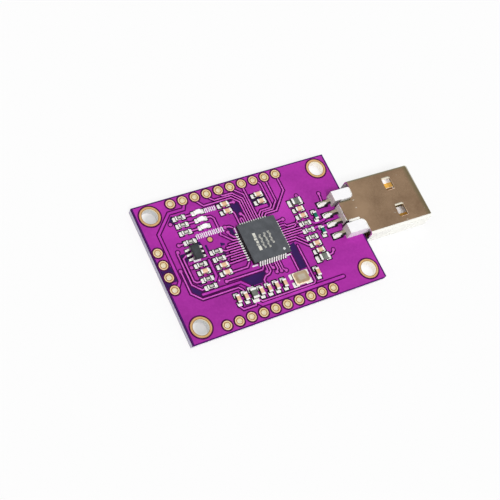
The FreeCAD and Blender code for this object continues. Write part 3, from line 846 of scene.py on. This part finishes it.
# two rows of bars, each with its start, number of groups, middle and height
GROUP = 0.84
for start, count, y, tall in ((-7.75, 3, 9.5, 0.92), (-11.55, 7, 4.98, 0.98)):
    for i in range(count):
        x = start + GROUP * i
        for shift in (0.0, GROUP / 2):
            BARS.append((0.19, [(x + shift, y - 0.5 * tall), (x + shift + 0.06, y + 0.5 * tall)]))
        level = (0.4, 0.0, -0.4)[i % 3] * tall
        BARS.append((0.2, [(x, y + level), (x + 0.44, y + level)]))
for width, line in BARS:
    strip(marks, line, width, BOARD_TOP + PRINT, BOARD_TOP + 0.002, 0.01, False)
marks.finish("mask_laminate")


# solder

SOLDER_FOOT = BOARD_TOP + 0.004


def mound(work, x, y, angle, inner, outer, width, climb, wall):
    """A pad with solder that runs up to a metal end at distance wall from the middle."""
    turn = math.radians(angle)
    rows = []
    for step in range(10):
        away = inner + (outer - inner) * step / 9
        end = min(1.0, (outer - away) / 0.12)
        begin = min(1.0, (away - inner) / 0.06)
        beyond = max(0.0, away - wall) / (outer - wall)
        lift = climb * (1 - beyond) ** 2.1
        half = width / 2 * (0.86 + 0.14 * end)
        row = []
        for place in range(9):
            share = place / 4 - 1
            edge = 1 - abs(share) ** 8
            z = SOLDER_FOOT + (0.05 * edge ** 0.5 + lift * edge) * min(end, begin)
            row.append((*swung(x, y, turn, away, half * share), z))
        rows.append(row)
    work.skin(rows)


joints = Sculpt("solder_fillets", "solder")
shade = Sculpt("pad_openings", "pad_opening")


def two_ended(name):
    """Middle, direction in degrees, half length and width of a small part, from its solid."""
    width, length = sorted(size[name][:2])
    return (*middle[name][:2], 0 if size[name][X] >= size[name][Y] else 90, length / 2, width)


def turned_box(work, x, y, angle, low, high, bevel, slot, segments=2):
    if angle == 90:
        low, high = (-high[Y], low[X], low[Z]), (-low[Y], high[X], high[Z])
    low, high = ((x + corner[X], y + corner[Y], corner[Z]) for corner in (low, high))
    work.brick(low, high, bevel, slot, segments)


def opening(x, y, angle, length, width):
    """The dark rim of bare laminate round a pad, made near-black by painted shade."""
    half_x, half_y = length / 2, width / 2
    if angle == 90:
        half_x, half_y = half_y, half_x
    patch(shade, rectangle(x - half_x, x + half_x, y - half_y, y + half_y), PAD_GAP)


# for each kind its cap, the solder's reach beyond it, how far that climbs, and the body's finish
SMALL = {
    "resistor": (0.3, 0.5, 0.5, "dark_ceramic"),
    "capacitor": (0.35, 0.5, 0.4, "tan_ceramic"),
    "bead": (0.45, 0.6, 0.4, "grey_ceramic"),
    "arrester": (0.35, 0.5, 0.4, "teal_ceramic"),
}


def add_small(name, kind):
    """A small part with two metal ends, its solder and the openings of its pads."""
    cap, reach, climb, look = SMALL[kind]
    x, y, angle, end, width = two_ended(name)
    height = size[name][Z]
    for extra in (0, 180):
        mound(joints, x, y, angle + extra, end - cap, end + reach, width + 0.1, climb * 0.35 * height, end)
    pad = cap + reach
    for side in (-1, 1):
        shift = side * (end - cap + pad / 2)
        dx, dy = (shift, 0) if angle == 0 else (0, shift)
        opening(x + dx, y + dy, angle, pad + 0.4, width + 0.52)
    finishes = ("white_ceramic", look, "laser_mark") if kind == "resistor" else (look,)
    work = Sculpt(name + "_visual", "end_cap", *finishes)
    half = width / 2
    top = SEAT + height
    for side in (-1, 1):
        a, b = sorted((side * (end - cap), side * end))
        turned_box(work, x, y, angle, (a, -half, SEAT), (b, half, top), min(0.09, cap / 4), 0, 3)
    inset = 0.035
    low, high = (-end + 0.1, -half + inset, SEAT + inset), (end - 0.1, half - inset, top - inset)
    turned_box(work, x, y, angle, low, high, 0.05, 1)
    if kind == "resistor":
        turned_box(work, x, y, angle, (-0.36, -0.2, top - 0.03), (0.36, 0.2, top), 0.01, 3, 1)
        span = end - cap * 0.82
        low, high = (-span, -half + 0.05, top - 0.1), (span, half - 0.05, top - 0.006)
        turned_box(work, x, y, angle, low, high, 0.035, 2, 3)
    work.finish(look, (name,))


# for each line of a light's lens its height and how far it is drawn in
LENS = ((0.0, 0.0), (0.2, 0.03), (0.36, 0.06), (0.42, 0.1), (0.449, 0.2))


def add_led(name):
    """A status light: metal ends, white base and clear lens with rounded corners."""
    x, y, angle, end, width = two_ended(name)
    half = width / 2
    for extra in (0, 180):
        mound(joints, x, y, angle + extra, end - 0.3, end + 0.5, width + 0.1, 0.2, end)
    for side in (-1, 1):
        opening(x + side * (end + 0.1), y, angle, 1.14, width + 0.44)
    work = Sculpt(name + "_visual", "end_cap", "white_ceramic", "clear_white")
    base = SEAT + 0.3
    for side in (-1, 1):
        a, b = sorted((side * (end - 0.3), side * end))
        turned_box(work, x, y, angle, (a, -half, SEAT), (b, half, base), 0.05, 0)
    low, high = (-end + 0.08, -half + 0.02, SEAT + 0.02), (end - 0.08, half - 0.02, base - 0.02)
    turned_box(work, x, y, angle, low, high, 0.03, 1)
    reach = end - 0.3
    rows = []
    for lift, shrink in LENS:
        radius = 0.08
        a, b = reach - shrink - radius, half - shrink * 0.5 - 0.005 - radius
        loop = []
        for cx, cy, start in ((a, b, 0), (-a, b, 90), (-a, -b, 180), (a, -b, 270)):
            for step in range(4):
                turn = math.radians(start + 30 * step)
                point = (x + cx + radius * math.cos(turn), y + cy + radius * math.sin(turn))
                loop.append((*point, base - 0.02 + lift))
        rows.append(loop)
    work.face(work.skin(rows, 2, ring=True), 2)
    work.finish("clear_white", (name,))


for key in sorted(nodes):
    kind = key.rsplit("_", 1)[0]
    if kind in SMALL:
        add_small(key, kind)
    elif kind == "led":
        add_led(key)


def flank(work, x, y, angle, wall, outer, width, top):
    """Solder that has run up the whole metal flank of a terminal."""
    turn = math.radians(angle)
    rows = []
    for away, z in (
        (wall, BOARD_TOP + 0.06), (wall, top), (wall + 0.1, top - 0.12),
        (outer - 0.14, BOARD_TOP + 0.16), (outer, BOARD_TOP + 0.01),
    ):
        row = []
        for share, drop in ((-1.0, 0.2), (-0.86, 0.03), (0.0, 0.0), (0.86, 0.03), (1.0, 0.2)):
            low = max(SOLDER_FOOT, z - drop)
            row.append((*swung(x, y, turn, away, share * width / 2), low))
        rows.append(row)
    work.skin(rows, smooth=False)


# the chip's terminals stand at one pitch along each of its four sides
CHIP_PITCH = 0.5
CHIP_PINS = 12
pads = Sculpt("chip_joint_solder", "wet_solder")
for side in range(4):
    angle = 90 * side
    turn = math.radians(angle)
    for i in range(CHIP_PINS):
        x, y = swung(CHIP_X, CHIP_Y, turn, 0.0, CHIP_PITCH * (i - (CHIP_PINS - 1) / 2))
        if angle == 270:
            flank(pads, x, y, angle, 4.006, 4.64, 0.28, CHIP_TOP - 0.04)
        else:
            mound(pads, x, y, angle, 4.1, 4.66, 0.3, 0.03, 4.12)
        opening(*swung(x, y, turn, 4.25, 0.0), angle % 180, 1.0, 0.5)

MEMORY_PITCH = 0.95
x, y = middle["memory_body"][:2]
for side in (-1, 1):
    opening(x + side * 1.3, y, 0, 1.15, 2.7)
for angle in (0, 180):
    for i in (-1, 0, 1):
        mound(joints, x, y + MEMORY_PITCH * i, angle, 1.06, 1.74, 0.44, 0.07, 1.38)

x, y = middle["crystal_base"][:2]
for angle in (180, 0):
    for side in (-1, 1):
        mound(joints, x, y + side * 0.85, angle, 0.75, 2.08, 1.06, 0.12, 1.6)

PLUG_TURN = math.radians(-1.1)
PIVOT = (15.9, 0.32)


def plug_point(x, y):
    """A point given in the plug's own frame, set at the plug's small turn."""
    return swung(*PIVOT, PLUG_TURN, x - PIVOT[X], y)


# places of the feet across the plug, their tips, and the length and height of the solder on each
FEET = (3.5, 1.0, -1.0, -3.5)
FOOT_TIP = 14.42
LEAF_LENGTH, LEAF_HEIGHT = 2.15, 0.36

# share of the length from the tip, and half of the width there
LEAF = (
    (0.0, 0.32), (0.05, 0.42), (0.15, 0.5), (0.3, 0.53), (0.45, 0.5),
    (0.6, 0.42), (0.75, 0.32), (0.9, 0.22), (1.0, 0.1),
)

# the dark line on the solder, a painted dark reflection
DARK_REFLECTION = ((0.2, 0.06), (0.5, 0.24), (0.9, 0.34), (1.4, 0.34))


def leaf(work, offset):
    """Solder drawn over a flat foot, blunt at its outer end and narrow at the plug."""
    rows = []
    for along, half in LEAF:
        tall = LEAF_HEIGHT * min(1.0, 0.5 + 3.0 * along, 1.9 - along)
        row = []
        for place in range(13):
            share = place / 6 - 1
            z = SOLDER_FOOT + tall * (1 - abs(share) ** 6) ** 0.5
            row.append((*plug_point(FOOT_TIP + LEAF_LENGTH * along, offset + half * share), z))
        rows.append(row)
    work.skin(rows)


feet = Sculpt("plug_foot_solder", "wet_solder", "dark_reflection_line")
for offset in FEET:
    leaf(feet, offset)
    line = [plug_point(FOOT_TIP + x, offset + y) for x, y in DARK_REFLECTION]
    strip(feet, line, 0.15, BOARD_TOP + 0.376, BOARD_TOP + 0.3, 0.02, False, 1)
    opening(*plug_point(15.4, offset), 0, 2.5, 1.56)
feet.finish("solder")
pads.finish("solder")
joints.finish("solder", ("solder_joints",))
shade.finish("mask_laminate")

# chip

# for each row of marks its place across the chip, width, first end and the lengths of its marks
MARK_ROWS = (
    (-1.2, 0.62, -1.55, (0.9, 0.34, 0.5, 0.42, 0.95)),
    (-0.16, 0.46, -1.4, (0.36, 0.36, 0.14, 0.36, 0.36, 0.36, 0.14)),
    (0.84, 0.46, -1.5, (0.36, 0.36, 0.36, 0.14, 0.36, 0.36, 0.36)),
    (1.84, 0.46, -0.9, (0.36, 0.36, 0.14, 0.36, 0.36, 0.36)),
)
STROKE = 0.11
chip_marks = Sculpt("chip_marks", "laser_mark", "dimple_mark")
for row_x, width, at, dashes in MARK_ROWS:
    for i, dash in enumerate(dashes):
        x = row_x + 0.04 * (-1) ** i
        if 0.3 < dash < 0.4:
            across = width / 2 - 0.05
            bars = [((x - across, at + y), (x + across, at + y)) for y in (STROKE / 2, dash - STROKE / 2)]
            post_x = x + across * (-1) ** i
            strokes = [(STROKE, line) for line in (*bars, ((post_x, at), (post_x, at + dash)))]
        else:
            strokes = [(width - 0.06 * (i % 3), [(x, at), (x, at + dash)])]
        for wide, line in strokes:
            strip(chip_marks, line, wide, CHIP_TOP + 0.006, CHIP_TOP - 0.004, 0.01, False)
        at += dash + 0.13
island(chip_marks, CHIP_X + 2.9, CHIP_Y - 3.05, 0.26, CHIP_TOP - 0.01, CHIP_TOP - 0.045, 0.015, 1)
chip_marks.finish("black_moulding")

# painted highlights and painted shade along the cut edge of the two windows in the plug's roof

# finish, width and line of each stretch of rim, from the window's edge away from the plug's mouth
RIM_LINES = (
    (0, 0.2, ((0.12, 1.27), (2.0, 1.27))),
    (0, 0.16, ((1.86, 1.2), (2.02, 1.1))),
    (2, 0.09, ((2.045, 1.12), (2.045, -1.1))),
    (1, 0.12, ((1.94, 1.05), (1.94, -1.1))),
    (2, 0.13, ((0.3, -1.33), (1.9, -1.33))),
)
WINDOW_EDGE = 29.02
rims = Sculpt("window_rims", "rim_highlight", "rim_shade", "pink_rim")
for window_y in (3.0, -3.0):
    for slot, width, line in RIM_LINES:
        points = [plug_point(WINDOW_EDGE + x, window_y + y) for x, y in line]
        strip(rims, points, width, SHELL_ROOF - 0.012, SHELL_ROOF - 0.2, 0.005, False, slot)
rims.finish("plated_steel")

# pieces whose solids are shown with their own finish

SHOWN = {
    "mask_laminate": ("pcb",),
    "wide_hole_plating": ("mounting_hole_plating",),
    "gold_plating": ("header_plating_back", "header_plating_front", "header_plating_side", "test_pad"),
    "black_moulding": ("chip_body",),
    "tinned_lead": ("chip_terminals", "memory_leads"),
    "memory_moulding": ("memory_body",),
    "base_ceramic": ("crystal_base",),
    "crystal_cover": ("crystal_lid",),
    "plated_steel": ("usb_shell",),
    "white_moulding": ("usb_housing",),
    "gold_contact": ("usb_contact_1", "usb_contact_2", "usb_contact_3", "usb_contact_4"),
}
for finish, names in SHOWN.items():
    for name in names:
        slots = nodes[name].data.materials
        slots.clear()
        slots.append(FINISHES[finish])


# floor, light and world

FLOOR_LEVEL = -0.655
FLOOR_REACH = 1500.0
WHITE = (1.0, 1.0, 1.0, 1.0)


class Backdrop(Tree):
    """Nodes of the floor or the world, with one shader that lights and one that is seen."""

    def __init__(self, owner):
        owner.use_nodes = True
        owner.node_tree.nodes.clear()
        super().__init__(owner.node_tree)
        self.rays = self.node("LightPath").outputs

    def seen(self):
        """One for rays from the camera and for rays that a shiny or clear piece sends on."""
        most = self.calculate("MAXIMUM", self.rays["Is Camera Ray"], self.rays["Is Glossy Ray"])
        return self.calculate("MAXIMUM", most, self.rays["Is Transmission Ray"])

    def put_out(self, output, share, lighting, shown):
        mixed = self.node("MixShader")
        for socket, value in zip(mixed.inputs, (share, lighting.outputs[0], shown.outputs[0])):
            self.feed(socket, value)
        self.node(output, Surface=mixed.outputs[0])


def stage_floor():
    """A pale floor with its own brightness, with painted shadow below the two holes away from the plug."""
    corners = rectangle(-FLOOR_REACH, FLOOR_REACH, -FLOOR_REACH, FLOOR_REACH)
    mesh = bpy.data.meshes.new("floor")
    mesh.from_pydata([(x * MM, y * MM, FLOOR_LEVEL * MM) for x, y in corners], [], [(0, 1, 2, 3)])
    floor = bpy.data.objects.new("floor", mesh)
    bpy.context.scene.collection.objects.link(floor)
    material = bpy.data.materials.new("pale_floor")
    made = Backdrop(material)
    # painted shadow: the floor's own brightness drops below the two holes away from the plug
    shades = [made.around((-17.3, y, FLOOR_LEVEL), 1.0, 2.1, 0.6, 1.0) for y in (11.5, -11.0)]
    diffuse = made.node("BsdfDiffuse", Color=(0.9, 0.9, 0.9, 1.0))
    glow = made.node("Emission", Color=WHITE, Strength=made.calculate("MINIMUM", *shades))
    made.put_out("OutputMaterial", made.times(made.seen(), 0.82), diffuse, glow)
    mesh.materials.append(material)


def light_scene():
    """A white world that is dimmer overhead in reflections, and one soft sun."""
    world = bpy.data.worlds.new("studio")
    bpy.context.scene.world = world
    made = Backdrop(world)
    fade = made.levels(made.split(made.coordinates["Generated"], Z), 0.35, 0.9, 1.0, 0.45)
    ambient = made.node("Background", Color=WHITE, Strength=0.5)
    strength = made.calculate("MAXIMUM", made.rays["Is Camera Ray"], fade)
    shown = made.node("Background", Color=WHITE, Strength=strength)
    made.put_out("OutputWorld", made.seen(), ambient, shown)

    sun = bpy.data.lights.new("key", "SUN")
    sun.energy = 1.9
    sun.angle = math.radians(20)
    holder = bpy.data.objects.new("key", sun)
    direction = Vector((0.25, 0.5, -0.83)).normalized()
    holder.matrix_world = direction.to_track_quat("-Z", "Y").to_matrix().to_4x4()
    bpy.context.scene.collection.objects.link(holder)


stage_floor()
light_scene()
bpy.context.scene.view_settings.view_transform = "Standard"
